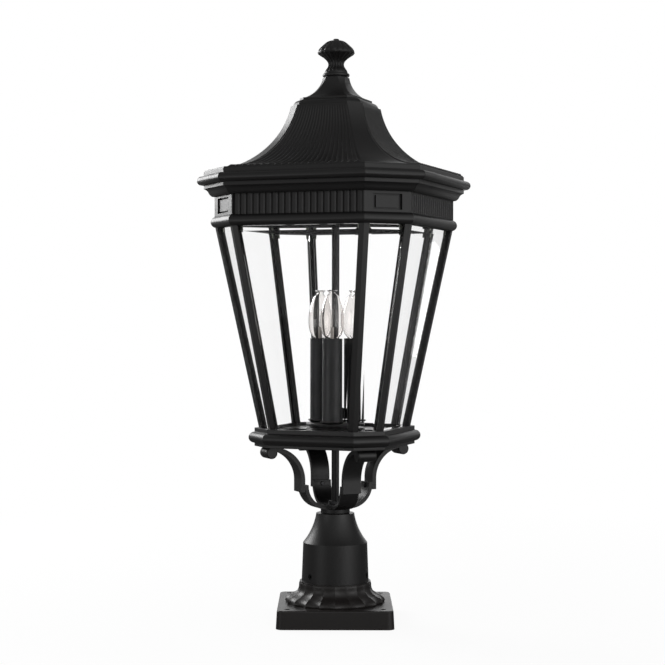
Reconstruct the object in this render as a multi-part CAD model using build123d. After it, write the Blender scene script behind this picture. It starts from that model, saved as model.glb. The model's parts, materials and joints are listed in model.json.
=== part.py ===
from build123d import *
import math
import os

# Outdoor pedestal light: an eight-sided tapering lantern with three candle lamps,
# carried by scroll arms on a post fitter that swivels on a fluted pier base.
# Millimetres, +Z up, origin at the centre of the base's underside.

# Turn of the lantern on its post, in degrees
head_turn = -21.3

# Clearances
press_gap = 0.05
running_gap = 0.08
free_gap = 0.3
overrun = 5

# Pier base: square plate with a fluted bell and four anchor holes
plate_width = 149.5
plate_height = 23.5
plate_corner = 9
plate_draft_angle = 3
plate_edge_round = 1.8
anchor_spacing = 121
anchor_hole_diameter = 7
base_well_diameter = 104
base_well_roof = 6
bell_shoulder_width = 2.5
bell_flare_width = 18.5
bell_height = 27.2
bell_rim_height = 1.2
flute_count = 20
flute_depth = 3
bell_rise_shares = [0, 0.1, 0.24, 0.36, 0.5, 0.75, 1]
bell_spread_shares = [0.97, 1, 0.86, 0.55, 0.24, 0.06, 0]
bell_flute_shares = [0.9, 1, 1, 0.85, 0.65, 0.45, 0.3]

# Post stub that the fitter slides over
stub_diameter = 76
stub_wall = 3
stub_seat_lip = 4
stub_seat_depth = 3.5
stub_top_gap = 4

# Post fitter and its set screws
fitter_bore_gap = 1
fitter_mouth_wall = 4.5
fitter_draft = 1.9
fitter_top_diameter = 49.3
fitter_sleeve_height = 50
fitter_flare_height = 37.8
fitter_sweep_share = 0.068
fitter_wall = 4
screw_count = 3
screw_azimuth = 243
screw_height = 8.5
screw_diameter = 6
screw_length = 4
screw_key = 3
screw_key_depth = 2
screw_sink_diameter = 7.4
screw_sink_depth = 0.8

# Neck collar, cradle and scroll arms
collar_diameter = 38
collar_height = 6.1
collar_round = 1
hub_diameter = 36
hub_thickness = 5.5
leg_width = 25
leg_thickness = 4.8
leg_reach = 47.5
leg_bend_radius = 31
leg_rise = 32.4
arm_rise = 82.4
strap_thickness = 5.4
strap_lap = 9
strap_end_run = 1.1
roll_diameter = 15
roll_reach = 93
roll_end_round = 1.5
lap_screw_diameter = 3
lap_screw_head_diameter = 5.5
lap_screw_head_height = 1.8
lap_screw_bite = 3.4
stud_diameter = 5
stud_depth = 8

# Central stem with its nuts
stem_diameter = 10
stem_bore = 7.5
stem_foot_drop = 7
stem_grip = 12.5
nut_width = 17
nut_height = 4

# Lower octagon: half width across the broad faces and half a broad side
lower_broad = 89.1
lower_side = 58.2
sill_foot_height = 3.9
sill_bead_height = 14.3
sill_bead_bulge = 7.15
sill_fillet_height = 5.3
sill_opening_inset = 18
floor_recess = 4
floor_thickness = 2

# Upper octagon, at the face of the frieze
upper_broad = 132.3
upper_side = 87.9
cage_height = 256
head_bead_height = 14
head_bead_back = 0.9
head_bead_bulge = 5.5
frieze_height = 25.5
frieze_wall = 8
head_lip_inset = 20
head_lip_height = 7
reed_count = 20
reed_depth = 2.2
reed_margin = 2.2
panel_width_share = 0.625
panel_height_share = 0.76
panel_groove_side = 4.5
panel_groove_edge = 2.4
panel_groove_depth = 4
panel_field_depth = 1.5

# Glazing bars
bar_inset_low = 5.2
bar_inset_high = 0.9
bar_flange = 7
bar_flange_thickness = 3
bar_web = 5
bar_web_depth = 8.6

# Bevelled panes and their clips
glass_thickness = 4
bevel_width = 6
bevel_depth = 1.4
pane_gap = 0.3
clip_width = 4
clip_drop = 6
clip_thickness = 1.2
clip_margin = 1

# Cornice
wave_height = 9.5
wave_foot_reach = 2.6
wave_head_reach = 12
wave_bow_share = 0.1
cornice_fillet_height = 5
cornice_bead_height = 11.5
cornice_bead_reach = 21.2
cornice_edge_reach = 13
cornice_edge_height = 6
spigot_depth = 5
spigot_wall = 4
spigot_gap = 0.6

# Roof shell
roof_rise = 86.5
roof_foot_lip = 1.3
roof_foot_set_back = 1.4
roof_top_broad = 49.5
roof_top_side = 34.2
roof_sweep_share = 0.186
roof_corner_sweep_share = 0.167
roof_wall = 3

# Ledge and crown
ledge_step = 3
ledge_foot_height = 1.2
ledge_round_height = 6.5
ledge_round_reach = 8
ledge_round_share = 0.17
ledge_plate_height = 2.8
ledge_plate_lip = 0.5
crown_set_back = 1.5
crown_height = 28.5
crown_top_broad = 15.5
crown_top_corner = 16.6
crown_sweep_share = 0.168
crown_corner_sweep_share = 0.14
stem_hole_gap = 0.6

# Finial and its washer
washer_diameter = 27
washer_thickness = 1.2
finial_height = 49.5
finial_diameter = 48
finial_base_diameter = 35
finial_base_height = 6.3
finial_base_round = 1.6
finial_shoulder_diameter = 30
finial_neck_diameter = 20.4
finial_bore_spare = 2
neck_flute_count = 20
neck_flute_depth = 1
neck_rise_shares = [0, 0.11, 0.25, 0.38, 0.59, 0.73, 0.85, 1]
neck_spread_shares = [0.33, 0.24, 0.07, 0, 0.145, 0.405, 0.72, 1]
neck_height = 24.7
dome_lobe_count = 16
dome_lobe_share = 0.06
dome_rim_height = 1
dome_rise_shares = [0, 0.25, 0.5, 0.75, 1]
dome_width_shares = [1, 0.935, 0.79, 0.62, 0.3]
dome_height = 14.8
button_diameter = 8
button_height = 2.7

# Lamp cluster
canopy_diameter = 76
canopy_waist_diameter = 66
canopy_rim_height = 3
canopy_waist_height = 2.4
canopy_top_height = 4
canopy_round = 1
hub_cover_foot_diameter = 19.5
hub_cover_diameter = 24
hub_cover_foot_height = 5
hub_cover_height = 19.5
hub_cover_round = 3
candle_count = 3
candle_azimuth = 282
candle_circle_radius = 25.8
cup_diameter = 31
cup_height = 3.2
cup_floor = 1.2
cup_lip = 1.1
sleeve_diameter = 26
sleeve_wall = 1.2
sleeve_height = 108
holder_diameter = 20
holder_height = 30
holder_below_top = 5
post_diameter = 10
post_bore = 6

# Candle bulbs
cap_diameter = 12
cap_height = 22
cap_contact_diameter = 6
cap_contact_height = 2
bulb_diameter = 31
bulb_height = 68
bulb_wall = 0.8
bulb_rise_shares = [0, 0.08, 0.14, 0.24, 0.42, 0.58, 0.7, 0.8, 0.88, 0.95]
bulb_width_shares = [0.4, 0.52, 0.74, 0.92, 1, 0.94, 0.83, 0.68, 0.51, 0.3]
mount_diameter = 5
mount_height = 20
filament_wire = 0.6
filament_span = 9
filament_rise = 22

# Heights of the levels, from the ground up
plate_top = plate_height
bell_top = plate_top + bell_height
fitter_shoulder = bell_top + fitter_sleeve_height
fitter_top = fitter_shoulder + fitter_flare_height
hub_bottom = fitter_top + collar_height
hub_top = hub_bottom + hub_thickness
sill_bottom = hub_bottom + arm_rise
sill_bead_bottom = sill_bottom + sill_foot_height
sill_bead_top = sill_bead_bottom + sill_bead_height
sill_top = sill_bead_top + sill_fillet_height
floor_top = sill_top - floor_recess
head_bottom = sill_top + cage_height
frieze_bottom = head_bottom + head_bead_height
frieze_top = frieze_bottom + frieze_height
wave_top = frieze_top + wave_height
cornice_bead_bottom = wave_top + cornice_fillet_height
cornice_bead_top = cornice_bead_bottom + cornice_bead_height
cornice_top = cornice_bead_top + cornice_edge_height
roof_top = cornice_top + roof_rise
ledge_round_bottom = roof_top + ledge_foot_height
ledge_round_top = ledge_round_bottom + ledge_round_height
ledge_top = ledge_round_top + ledge_plate_height
crown_top = ledge_top + crown_height
finial_bottom = crown_top + washer_thickness
canopy_top = floor_top + canopy_rim_height + canopy_waist_height + canopy_top_height
sleeve_bottom = canopy_top + cup_floor
holder_top = sleeve_bottom + sleeve_height - holder_below_top
cap_bottom = holder_top - cap_height

# Every corner of the octagons turns by 45 degrees, so an offset of one
# grows half a side by this share of it
half_turn_share = math.tan(math.radians(22.5))
corner_cosine = math.cos(math.radians(22.5))


def grown(broad, side, offset):
    """Half width and half side of an octagon after an even offset."""
    return broad + offset, side + offset * half_turn_share


def corner_distance(broad, side):
    """Distance from the axis to a corner face."""
    return (broad + side) / math.sqrt(2)


def octagon_face(broad, side, height):
    """Octagon with four broad sides and four corner sides."""
    quarter = [(side, -broad), (broad, -side)]
    points = []
    for turn in (0, 90, 180, 270):
        points += [Vector(x, y, height).rotate(Axis.Z, turn) for x, y in quarter]
    return make_face(Polyline(*points, close=True).edges())


def octagon_prism(broad, side, bottom, top):
    """Upright prism on an octagon."""
    return extrude(octagon_face(broad, side, bottom), amount=top - bottom, dir=(0, 0, 1))


def outline_prism(base, steps, reach):
    """Symmetric outline of (offset, height) steps about the axis, run both ways along Y.

    A step that is a pair of points is an arc through the first to the second.
    """
    here = (base + steps[0][0], steps[0][1])
    bottom = here
    edges = []
    for step in steps[1:]:
        if isinstance(step[0], tuple):
            middle, end = [(base + offset, height) for offset, height in step]
            edges.append(ThreePointArc(here, middle, end))
        else:
            end = (base + step[0], step[1])
            edges.append(Line(here, end))
        here = end
    right = Curve() + edges
    left = mirror(right, about=Plane.YZ)
    closing = [Line((-bottom[0], bottom[1]), bottom), Line((-here[0], here[1]), here)]
    face = make_face(right.edges() + left.edges() + closing)
    return extrude(Plane.XZ * face, amount=reach, both=True)


def octagon_stack(broad, corner, broad_steps, corner_steps):
    """Solid whose every level is an octagon, cut by the broad and the corner outlines."""
    reach = 2 * corner
    across = outline_prism(broad, broad_steps, reach)
    slant = outline_prism(corner, corner_steps, reach)
    return (
        across
        & across.rotate(Axis.Z, 90)
        & slant.rotate(Axis.Z, 45)
        & slant.rotate(Axis.Z, 135)
    )


def moulding(broad, side, steps):
    """Octagonal moulding whose steps are offsets from one octagon."""
    return octagon_stack(broad, corner_distance(broad, side), steps, steps)


def sweep_middle(start, end, bow_share):
    """Middle point of the hollow arc between two outline points; it bows by a share of the chord."""
    chord = Vector(end[0] - start[0], end[1] - start[1])
    middle = Vector(start[0] + end[0], start[1] + end[1]) / 2 + chord.rotate(Axis.Z, 90) * bow_share
    return middle.X, middle.Y


def disc(radius, bottom, top):
    """Upright cylinder between two heights."""
    return Pos(0, 0, (bottom + top) / 2) * Cylinder(radius, top - bottom)


def tube(outer, inner, bottom, top):
    """Upright tube between two heights."""
    return disc(outer, bottom, top) - disc(inner, bottom - overrun, top + overrun)


def turned(points):
    """Solid of revolution of a closed outline of (radius, height) corners."""
    face = make_face(Polyline(*points, close=True).edges())
    return revolve(Plane.XZ * face, axis=Axis.Z)


def around(piece, count, start):
    """Copies of a piece about the Z axis."""
    return [piece.rotate(Axis.Z, start + index * 360 / count) for index in range(count)]


def cut_by(piece, cutters):
    """Piece with every cutter taken away."""
    for cutter in cutters:
        piece = piece - cutter
    return piece


def fluted_face(radius, depth, count, height):
    """Round face whose rim is made of equal hollow arcs, or bulging ones for a negative depth."""
    step = 2 * math.pi / count
    rim = []
    for index in range(count):
        angles = [(index + share) * step for share in (0, 0.5, 1)]
        radii = [radius, radius - depth, radius]
        rim.append(
            ThreePointArc(*[(r * math.cos(a), r * math.sin(a), height) for r, a in zip(radii, angles)])
        )
    return make_face(rim)


def fluted_loft(levels, count):
    """Fluted solid through levels of (height, radius, depth)."""
    return loft([fluted_face(radius, depth, count, height) for height, radius, depth in levels])


def hex_nut(width, bottom, height, bore):
    """Hexagon nut on the Z axis."""
    blank = extrude(RegularPolygon(width / 2, 6, major_radius=False), amount=height)
    return Pos(0, 0, bottom) * blank - disc(bore, bottom - overrun, bottom + height + overrun)


def cage_level(low, high, height):
    """Size of the leaning cage at a height, from its sizes at the sill and at the head."""
    return low + (high - low) * (height - sill_top) / cage_height


# Radii of the fitter follow the stub, and the bell follows the fitter
fitter_bore = stub_diameter / 2 + fitter_bore_gap
fitter_mouth = fitter_bore + fitter_mouth_wall
fitter_shoulder_radius = fitter_mouth - fitter_draft
bell_top_radius = fitter_mouth + bell_shoulder_width
stub_bottom = plate_height - base_well_roof + stub_seat_depth
stub_top = fitter_shoulder - fitter_wall - stub_top_gap

# The panes stand inside the flanges of the bars, in a rebate of the sill
sill_rebate_inset = bar_inset_low + bar_flange_thickness

# Outer corners of the cage at the sill and at the head
cage_low = grown(lower_broad, lower_side, -bar_inset_low)
cage_high = grown(upper_broad, upper_side, -bar_inset_high)
stem_radius = stem_diameter / 2
stem_fit = stem_radius + press_gap
stem_bottom = fitter_top - fitter_wall - nut_height - stem_foot_drop
stem_top = finial_bottom + stem_grip


def make_pier_base():
    """Cast plate with a fluted bell, a well beneath, the stub's seat and anchor holes."""
    outline = RectangleRounded(plate_width, plate_width, plate_corner)
    plate = extrude(outline, amount=plate_height, taper=plate_draft_angle)
    plate = fillet(plate.edges().group_by(Axis.Z)[-1], plate_edge_round)
    flute_height = bell_height - bell_rim_height
    levels = []
    for rise, spread, depth in zip(bell_rise_shares, bell_spread_shares, bell_flute_shares):
        radius = bell_top_radius + spread * bell_flare_width
        levels.append((plate_top + rise * flute_height, radius, depth * flute_depth))
    bell = fluted_loft(levels, flute_count)
    rim = disc(bell_top_radius, bell_top - bell_rim_height, bell_top)
    well_top = plate_height - base_well_roof
    well = disc(base_well_diameter / 2, -overrun, well_top)
    bore = disc(stub_diameter / 2 + press_gap, stub_bottom, bell_top + overrun)
    throat = disc(stub_diameter / 2 - stub_seat_lip, -overrun, bell_top + overrun)
    half = anchor_spacing / 2
    holes = [
        Pos(x, y, 0) * disc(anchor_hole_diameter / 2, -overrun, plate_height + overrun)
        for x in (-half, half)
        for y in (-half, half)
    ]
    return cut_by(plate + bell + rim, [well, bore, throat] + holes)


def make_post_stub():
    """Tube that stands in the base and carries the post fitter."""
    stub = tube(stub_diameter / 2, stub_diameter / 2 - stub_wall, stub_bottom, stub_top)
    return chamfer(stub.edges().group_by(Axis.Z)[-1], stub_wall / 4)


def make_screw_tools():
    """Radial drill and countersink for one set screw, along +X."""
    height = bell_top + screw_height
    reach = fitter_mouth + overrun
    drill = Pos(reach / 2, 0, height) * Rot(0, 90, 0) * Cylinder(screw_diameter / 2 + running_gap, reach)
    sink_start = fitter_mouth - screw_sink_depth
    sink = Rot(0, 90, 0) * Cylinder(screw_sink_diameter / 2, overrun)
    sink = Pos(sink_start + overrun / 2, 0, height) * sink
    return drill + sink


def make_post_fitter():
    """Hollow cast fitter: a drafted sleeve, a shoulder and a concave flare."""
    mouth = (fitter_mouth, bell_top)
    shoulder = (fitter_shoulder_radius, fitter_shoulder)
    neck = (fitter_top_diameter / 2, fitter_top)
    inner_shoulder = (fitter_shoulder_radius - fitter_wall, fitter_shoulder - fitter_wall)
    inner_neck = (neck[0] - fitter_wall, fitter_top - fitter_wall)
    outer = [
        Line((0, bell_top), mouth),
        Line(mouth, shoulder),
        ThreePointArc(shoulder, sweep_middle(shoulder, neck, fitter_sweep_share), neck),
        Line(neck, (0, fitter_top)),
        Line((0, fitter_top), (0, bell_top)),
    ]
    hollow = [
        Line((0, bell_top - overrun), (fitter_bore, bell_top - overrun)),
        Line((fitter_bore, bell_top - overrun), (fitter_bore, inner_shoulder[1])),
        Line((fitter_bore, inner_shoulder[1]), inner_shoulder),
        ThreePointArc(
            inner_shoulder, sweep_middle(inner_shoulder, inner_neck, fitter_sweep_share), inner_neck
        ),
        Line(inner_neck, (0, inner_neck[1])),
        Line((0, inner_neck[1]), (0, bell_top - overrun)),
    ]
    body = revolve(Plane.XZ * make_face(outer), axis=Axis.Z)
    core = revolve(Plane.XZ * make_face(hollow), axis=Axis.Z)
    wire_hole = disc(stem_fit, fitter_top - fitter_wall - overrun, fitter_top + overrun)
    return cut_by(body, [core, wire_hole] + around(make_screw_tools(), screw_count, screw_azimuth))


def make_set_screw():
    """Headless screw with a hexagon socket, its tip just off the stub, along +X."""
    start = stub_diameter / 2 + free_gap
    body = Rot(0, 90, 0) * Pos(0, 0, start + screw_length / 2) * Cylinder(screw_diameter / 2, screw_length)
    key = extrude(RegularPolygon(screw_key / 2, 6, major_radius=False), amount=screw_key_depth + overrun)
    socket = Rot(0, 90, 0) * Pos(0, 0, start + screw_length - screw_key_depth) * key
    return Pos(0, 0, bell_top + screw_height) * (body - socket)


def make_neck_collar():
    """Plain ring between the fitter and the cradle."""
    ring = disc(collar_diameter / 2, fitter_top, hub_bottom)
    ring = fillet(ring.edges(), collar_round)
    return ring - disc(stem_fit, fitter_top - overrun, hub_bottom + overrun)


def bent_strip(points, bend_centre, outer, thickness, first_angle, width):
    """Strip with one quarter bend, in the XZ plane, given its two straight runs."""
    start, end = points
    inner = outer - thickness
    cx, cz = bend_centre
    turn_in = Vector(1, 0).rotate(Axis.Z, first_angle)
    turn_out = Vector(1, 0).rotate(Axis.Z, first_angle + 90)
    corner = [
        (cx + radius * way.X, cz + radius * way.Y)
        for way, radius in ((turn_in, outer), (turn_in, inner), (turn_out, inner), (turn_out, outer))
    ]
    edges = [
        CenterArc(bend_centre, outer, first_angle, 90),
        CenterArc(bend_centre, inner, first_angle, 90),
        Line(corner[0], start[0]),
        Line(start[0], start[1]),
        Line(start[1], corner[1]),
        Line(corner[2], end[1]),
        Line(end[1], end[0]),
        Line(end[0], corner[3]),
    ]
    return extrude(Plane.XZ * make_face(edges), amount=width / 2, both=True)


def lap_height():
    """Height of the screws that hold the arms to the cradle."""
    return hub_bottom + leg_rise - strap_lap / 2


def radial_rod(radius, start, end, height):
    """Cylinder along +X between two distances from the axis."""
    return Pos((start + end) / 2, 0, height) * Rot(0, 90, 0) * Cylinder(radius, end - start)


def make_arm_cradle():
    """Hub with four legs that bend upwards under the corner faces."""
    leg_top = hub_bottom + leg_rise
    centre = (leg_reach - leg_bend_radius, hub_bottom + leg_bend_radius)
    inner_reach = leg_reach - leg_thickness
    leg = bent_strip(
        [[(0, hub_bottom), (0, hub_bottom + leg_thickness)], [(leg_reach, leg_top), (inner_reach, leg_top)]],
        centre, leg_bend_radius, leg_thickness, 270, leg_width,
    )
    drill = radial_rod(
        lap_screw_diameter / 2 + press_gap, inner_reach - overrun, leg_reach + overrun, lap_height()
    )
    seat = radial_rod(
        lap_screw_head_diameter / 2 + running_gap, inner_reach - overrun, inner_reach, lap_height()
    )
    hub = disc(hub_diameter / 2, hub_bottom, hub_top)
    legs = around(leg - drill - seat, 4, 45)
    cradle = hub + legs
    return cradle - disc(stem_fit, hub_bottom - overrun, hub_top + overrun)


def make_scroll_arm():
    """Strap that rises from the cradle, takes the widest bend outwards that fits and ends in a roll."""
    top = sill_bottom
    foot = hub_bottom + leg_rise - strap_lap
    bend = min(roll_reach - leg_reach, top - foot) - strap_end_run
    centre = (leg_reach + bend, top - bend)
    strap = bent_strip(
        [
            [(roll_reach, top), (roll_reach, top - strap_thickness)],
            [(leg_reach, foot), (leg_reach + strap_thickness, foot)],
        ],
        centre, bend, strap_thickness, 90, leg_width,
    )
    roll = Rot(90, 0, 0) * Cylinder(roll_diameter / 2, leg_width)
    roll = Pos(roll_reach, 0, top - roll_diameter / 2) * roll
    roll = fillet(roll.edges().filter_by(GeomType.CIRCLE), roll_end_round)
    drill_end = leg_reach + lap_screw_bite + free_gap
    drill = radial_rod(lap_screw_diameter / 2 + press_gap, leg_reach - overrun, drill_end, lap_height())
    socket = Pos(roll_reach, 0, 0) * disc(stud_diameter / 2 + press_gap, top - stud_depth, top + overrun)
    return strap + roll - drill - socket


def make_lap_screws():
    """Round-headed screws through the legs into the arms."""
    head_start = leg_reach - leg_thickness - lap_screw_head_height
    head = radial_rod(lap_screw_head_diameter / 2, head_start, leg_reach - leg_thickness, lap_height())
    head = fillet(head.edges().group_by(Axis.X)[0], lap_screw_head_height / 2)
    shank = radial_rod(lap_screw_diameter / 2, head_start, leg_reach + lap_screw_bite, lap_height())
    return around(head + shank, 4, 45)


def make_arm_studs():
    """Plain studs that locate the rolled ends under the sill."""
    stud = disc(stud_diameter / 2, sill_bottom - stud_depth, sill_bottom + stud_depth)
    return around(Pos(roll_reach, 0, 0) * stud, 4, 45)


def make_bottom_frame():
    """Sill: fillet, bead and fillet outside, with a rebate for the floor and the panes."""
    steps = [
        (0, sill_bottom),
        (0, sill_bead_bottom),
        ((sill_bead_bulge, (sill_bead_bottom + sill_bead_top) / 2), (0, sill_bead_top)),
        (0, sill_top),
    ]
    ring = moulding(lower_broad, lower_side, steps)
    opening = octagon_prism(
        *grown(lower_broad, lower_side, -sill_opening_inset), sill_bottom - overrun, sill_top + overrun
    )
    rebate = octagon_prism(
        *grown(lower_broad, lower_side, -sill_rebate_inset), floor_top - floor_thickness, sill_top + overrun
    )
    socket = disc(stud_diameter / 2 + press_gap, sill_bottom - overrun, sill_bottom + stud_depth)
    return cut_by(ring, [opening, rebate] + around(Pos(roll_reach, 0, 0) * socket, 4, 45))


def make_floor_plate():
    """Flat plate that closes the sill and carries the lamp cluster."""
    broad, side = grown(lower_broad, lower_side, -sill_rebate_inset - pane_gap)
    plate = octagon_prism(broad, side, floor_top - floor_thickness, floor_top)
    return plate - disc(stem_fit, floor_top - floor_thickness - overrun, floor_top + overrun)


def make_cluster_canopy():
    """Two-rimmed round plate under the candles."""
    rim = canopy_diameter / 2
    waist = canopy_waist_diameter / 2
    waist_bottom = floor_top + canopy_rim_height
    waist_top = waist_bottom + canopy_waist_height
    low = fillet(disc(rim, floor_top, waist_bottom).edges().group_by(Axis.Z)[-1], canopy_round)
    high = fillet(disc(rim, waist_top, canopy_top).edges(), canopy_round)
    canopy = low + disc(waist, waist_bottom, waist_top) + high
    return canopy - disc(stem_fit, floor_top - overrun, canopy_top + overrun)


def make_hub_cover():
    """Small stepped cap around the stem between the candles."""
    step = canopy_top + hub_cover_foot_height
    top = canopy_top + hub_cover_height
    foot = disc(hub_cover_foot_diameter / 2, canopy_top, step)
    cap = disc(hub_cover_diameter / 2, step, top)
    cap = fillet(cap.edges().group_by(Axis.Z)[-1], hub_cover_round)
    return foot + cap - disc(stem_fit, canopy_top - overrun, top + overrun)


def candle_places(piece):
    """One piece at each candle."""
    return around(Pos(candle_circle_radius, 0, 0) * piece, candle_count, candle_azimuth)


def make_candle_cup():
    """Shallow dish that holds the foot of a candle sleeve."""
    rim = cup_diameter / 2
    top = canopy_top + cup_height
    well = sleeve_diameter / 2 + free_gap
    foot = canopy_diameter / 2 - candle_circle_radius
    return turned([
        (post_diameter / 2 + press_gap, canopy_top),
        (foot, canopy_top),
        (rim, top - cup_lip),
        (rim, top),
        (well, top),
        (well, sleeve_bottom),
        (post_diameter / 2 + press_gap, sleeve_bottom),
    ])


def make_candle_sleeve():
    """Plain tube that hides a lamp holder."""
    outer = sleeve_diameter / 2
    sleeve = tube(outer, outer - sleeve_wall, sleeve_bottom, sleeve_bottom + sleeve_height)
    return fillet(sleeve.edges().group_by(Axis.Z)[-1], sleeve_wall / 4)


def make_lamp_holder():
    """Socket on a hollow post."""
    body = disc(holder_diameter / 2, holder_top - holder_height, holder_top)
    post = disc(post_diameter / 2, canopy_top, holder_top - holder_height)
    bore = disc(cap_diameter / 2 + running_gap, cap_bottom, holder_top + overrun)
    wires = disc(post_bore / 2, canopy_top - overrun, cap_bottom - cap_contact_height)
    return body + post - bore - wires


def make_bulb_cap():
    """Screw cap of a bulb with its centre contact."""
    shell = disc(cap_diameter / 2, cap_bottom + cap_contact_height, holder_top)
    contact = disc(cap_contact_diameter / 2, cap_bottom, cap_bottom + cap_contact_height)
    return shell + contact


def bulb_outline(inset):
    """Closed half outline of the flame-shaped glass, or of the space inside it."""
    points = [
        (share * bulb_diameter / 2 - inset, holder_top + rise * bulb_height)
        for rise, share in zip(bulb_rise_shares, bulb_width_shares)
    ]
    tip = (0, holder_top + bulb_height - inset)
    side = Spline(*points, tip, tangents=[(0, 1), (-1, 0)])
    return [side, Line(tip, (0, holder_top)), Line((0, holder_top), points[0])]


def make_bulb_glass():
    """Clear hollow flame-shaped glass, open into its cap."""
    outside = revolve(Plane.XZ * make_face(bulb_outline(0)), axis=Axis.Z)
    inside = revolve(Plane.XZ * make_face(bulb_outline(bulb_wall)), axis=Axis.Z)
    return outside - inside


def make_bulb_filament():
    """Glass mount with two supports and the filament between them."""
    mount_top = holder_top + mount_height
    wire = filament_wire / 2
    half = filament_span / 2
    mount = disc(mount_diameter / 2, holder_top, mount_top)
    filament_top = mount_top + filament_rise
    root = mount_diameter / 4
    foot = mount_top - mount_diameter / 2
    path = Polyline(
        (-root, 0, foot), (-half, 0, filament_top), (half, 0, filament_top), (root, 0, foot)
    )
    wires = sweep(Plane(path @ 0, z_dir=path % 0) * Circle(wire), path=path, transition=Transition.RIGHT)
    return mount + wires


def make_central_stem():
    """Threaded pipe from the fitter to the finial."""
    return tube(stem_radius, stem_bore / 2, stem_bottom, stem_top)


def bar_section(broad, side, height):
    """Section of a glazing bar at the right front corner: two flanges and a web."""
    corner = Vector(side, -broad, height)
    along = [Vector(-1, 0), Vector(1, 0).rotate(Axis.Z, 45)]
    inward = [Vector(0, 1), Vector(0, 1).rotate(Axis.Z, 45)]
    bisector = Vector(0, 1).rotate(Axis.Z, 22.5)
    inner_corner = corner + bisector * (bar_flange_thickness / corner_cosine)
    wings = []
    for run, depth in zip(along, inward):
        tip = corner + run * bar_flange
        root = inner_corner + run * (bar_web / 2 / corner_cosine)
        wings.append([tip, tip + depth * bar_flange_thickness, root, root + bisector * bar_web_depth])
    points = [corner] + wings[0] + wings[1][::-1]
    return make_face(Polyline(*points, close=True).edges())


def make_glazing_bars():
    """Eight leaning bars, two mirrored kinds about each broad face."""
    lean = Vector(cage_high[1] - cage_low[1], cage_low[0] - cage_high[0], cage_height)
    right = Solid.extrude(bar_section(*cage_low, sill_top).face(), lean)
    left = mirror(right, about=Plane.YZ)
    bars = []
    for turn in (0, 90, 180, 270):
        bars += [left.rotate(Axis.Z, turn), right.rotate(Axis.Z, turn)]
    return bars


def pane_shape(distances, half_sides):
    """Plane, slope height and half widths of a pane that faces -Y."""
    tilt = math.atan2(distances[1] - distances[0], cage_height)
    inset = bar_flange_thickness + pane_gap
    foot = cage_level(*distances, floor_top) - inset
    side_room = (inset + glass_thickness) * half_turn_share + (bar_web / 2 + pane_gap) / corner_cosine
    widths = [cage_level(*half_sides, height) - side_room for height in (floor_top, head_bottom)]
    plane = Plane((0, -foot, floor_top), x_dir=(1, 0, 0), z_dir=(0, -math.cos(tilt), -math.sin(tilt)))
    return plane, tilt, widths


def pane_height(tilt, depth):
    """Slope height that brings the back edge of a plate of this depth up to the head."""
    return (head_bottom - floor_top - depth * math.sin(tilt)) / math.cos(tilt)


def pane_face(widths, height, inset, depth):
    """Trapezium of a pane, drawn in by an even inset, below the outer face by a depth."""
    low, high = widths
    slope = (high - low) / height
    shrink = inset * math.hypot(1, slope)
    bottom = low + slope * inset - shrink
    top = high - slope * inset - shrink
    points = [(-bottom, inset), (bottom, inset), (top, height - inset), (-top, height - inset)]
    return Pos(0, 0, -depth) * make_face(Polyline(*points, close=True).edges())


def make_pane(distances, half_sides):
    """Clear pane with a bevelled rim on its outer face."""
    plane, tilt, widths = pane_shape(distances, half_sides)
    height = pane_height(tilt, glass_thickness)
    back = pane_face(widths, height, 0, glass_thickness)
    rim = pane_face(widths, height, 0, bevel_depth)
    front = pane_face(widths, height, bevel_width, 0)
    return loft([plane * back, plane * rim, plane * front], ruled=True)


def make_clips(distances, half_sides):
    """Two tabs that hold the upper corners of a pane against the bars."""
    plane, tilt, widths = pane_shape(distances, half_sides)
    depth = glass_thickness + clip_thickness
    height = pane_height(tilt, depth)
    centre = widths[1] - clip_width / 2 - clip_margin
    tab = Box(clip_width, clip_drop, clip_thickness)
    return [
        plane * Pos(x, height - clip_drop / 2, clip_thickness / 2 - depth) * tab for x in (-centre, centre)
    ]


def corner_sizes(sizes):
    """Distance and half side of a corner face, from a broad pair."""
    broad, side = sizes
    return corner_distance(broad, side), (broad - side) / math.sqrt(2)


def pane_sizes():
    """Distances and half sides of the broad and the corner panes, at sill and head."""
    broad = list(zip(cage_low, cage_high))
    corner = list(zip(corner_sizes(cage_low), corner_sizes(cage_high)))
    return broad, corner


def reeded_side(half, distance):
    """One side of the frieze, along +X at -Y: plain margins and half-round reeds sunk between them."""
    start = -half + reed_margin
    pitch = -2 * start / reed_count
    valley = -distance + reed_depth
    edges = [Line((-half, -distance), (start, -distance)), Line((start, -distance), (start, valley))]
    for index in range(reed_count):
        left = start + index * pitch
        edges.append(ThreePointArc((left, valley), (left + pitch / 2, -distance), (left + pitch, valley)))
    edges += [Line((-start, valley), (-start, -distance)), Line((-start, -distance), (half, -distance))]
    return edges


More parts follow.
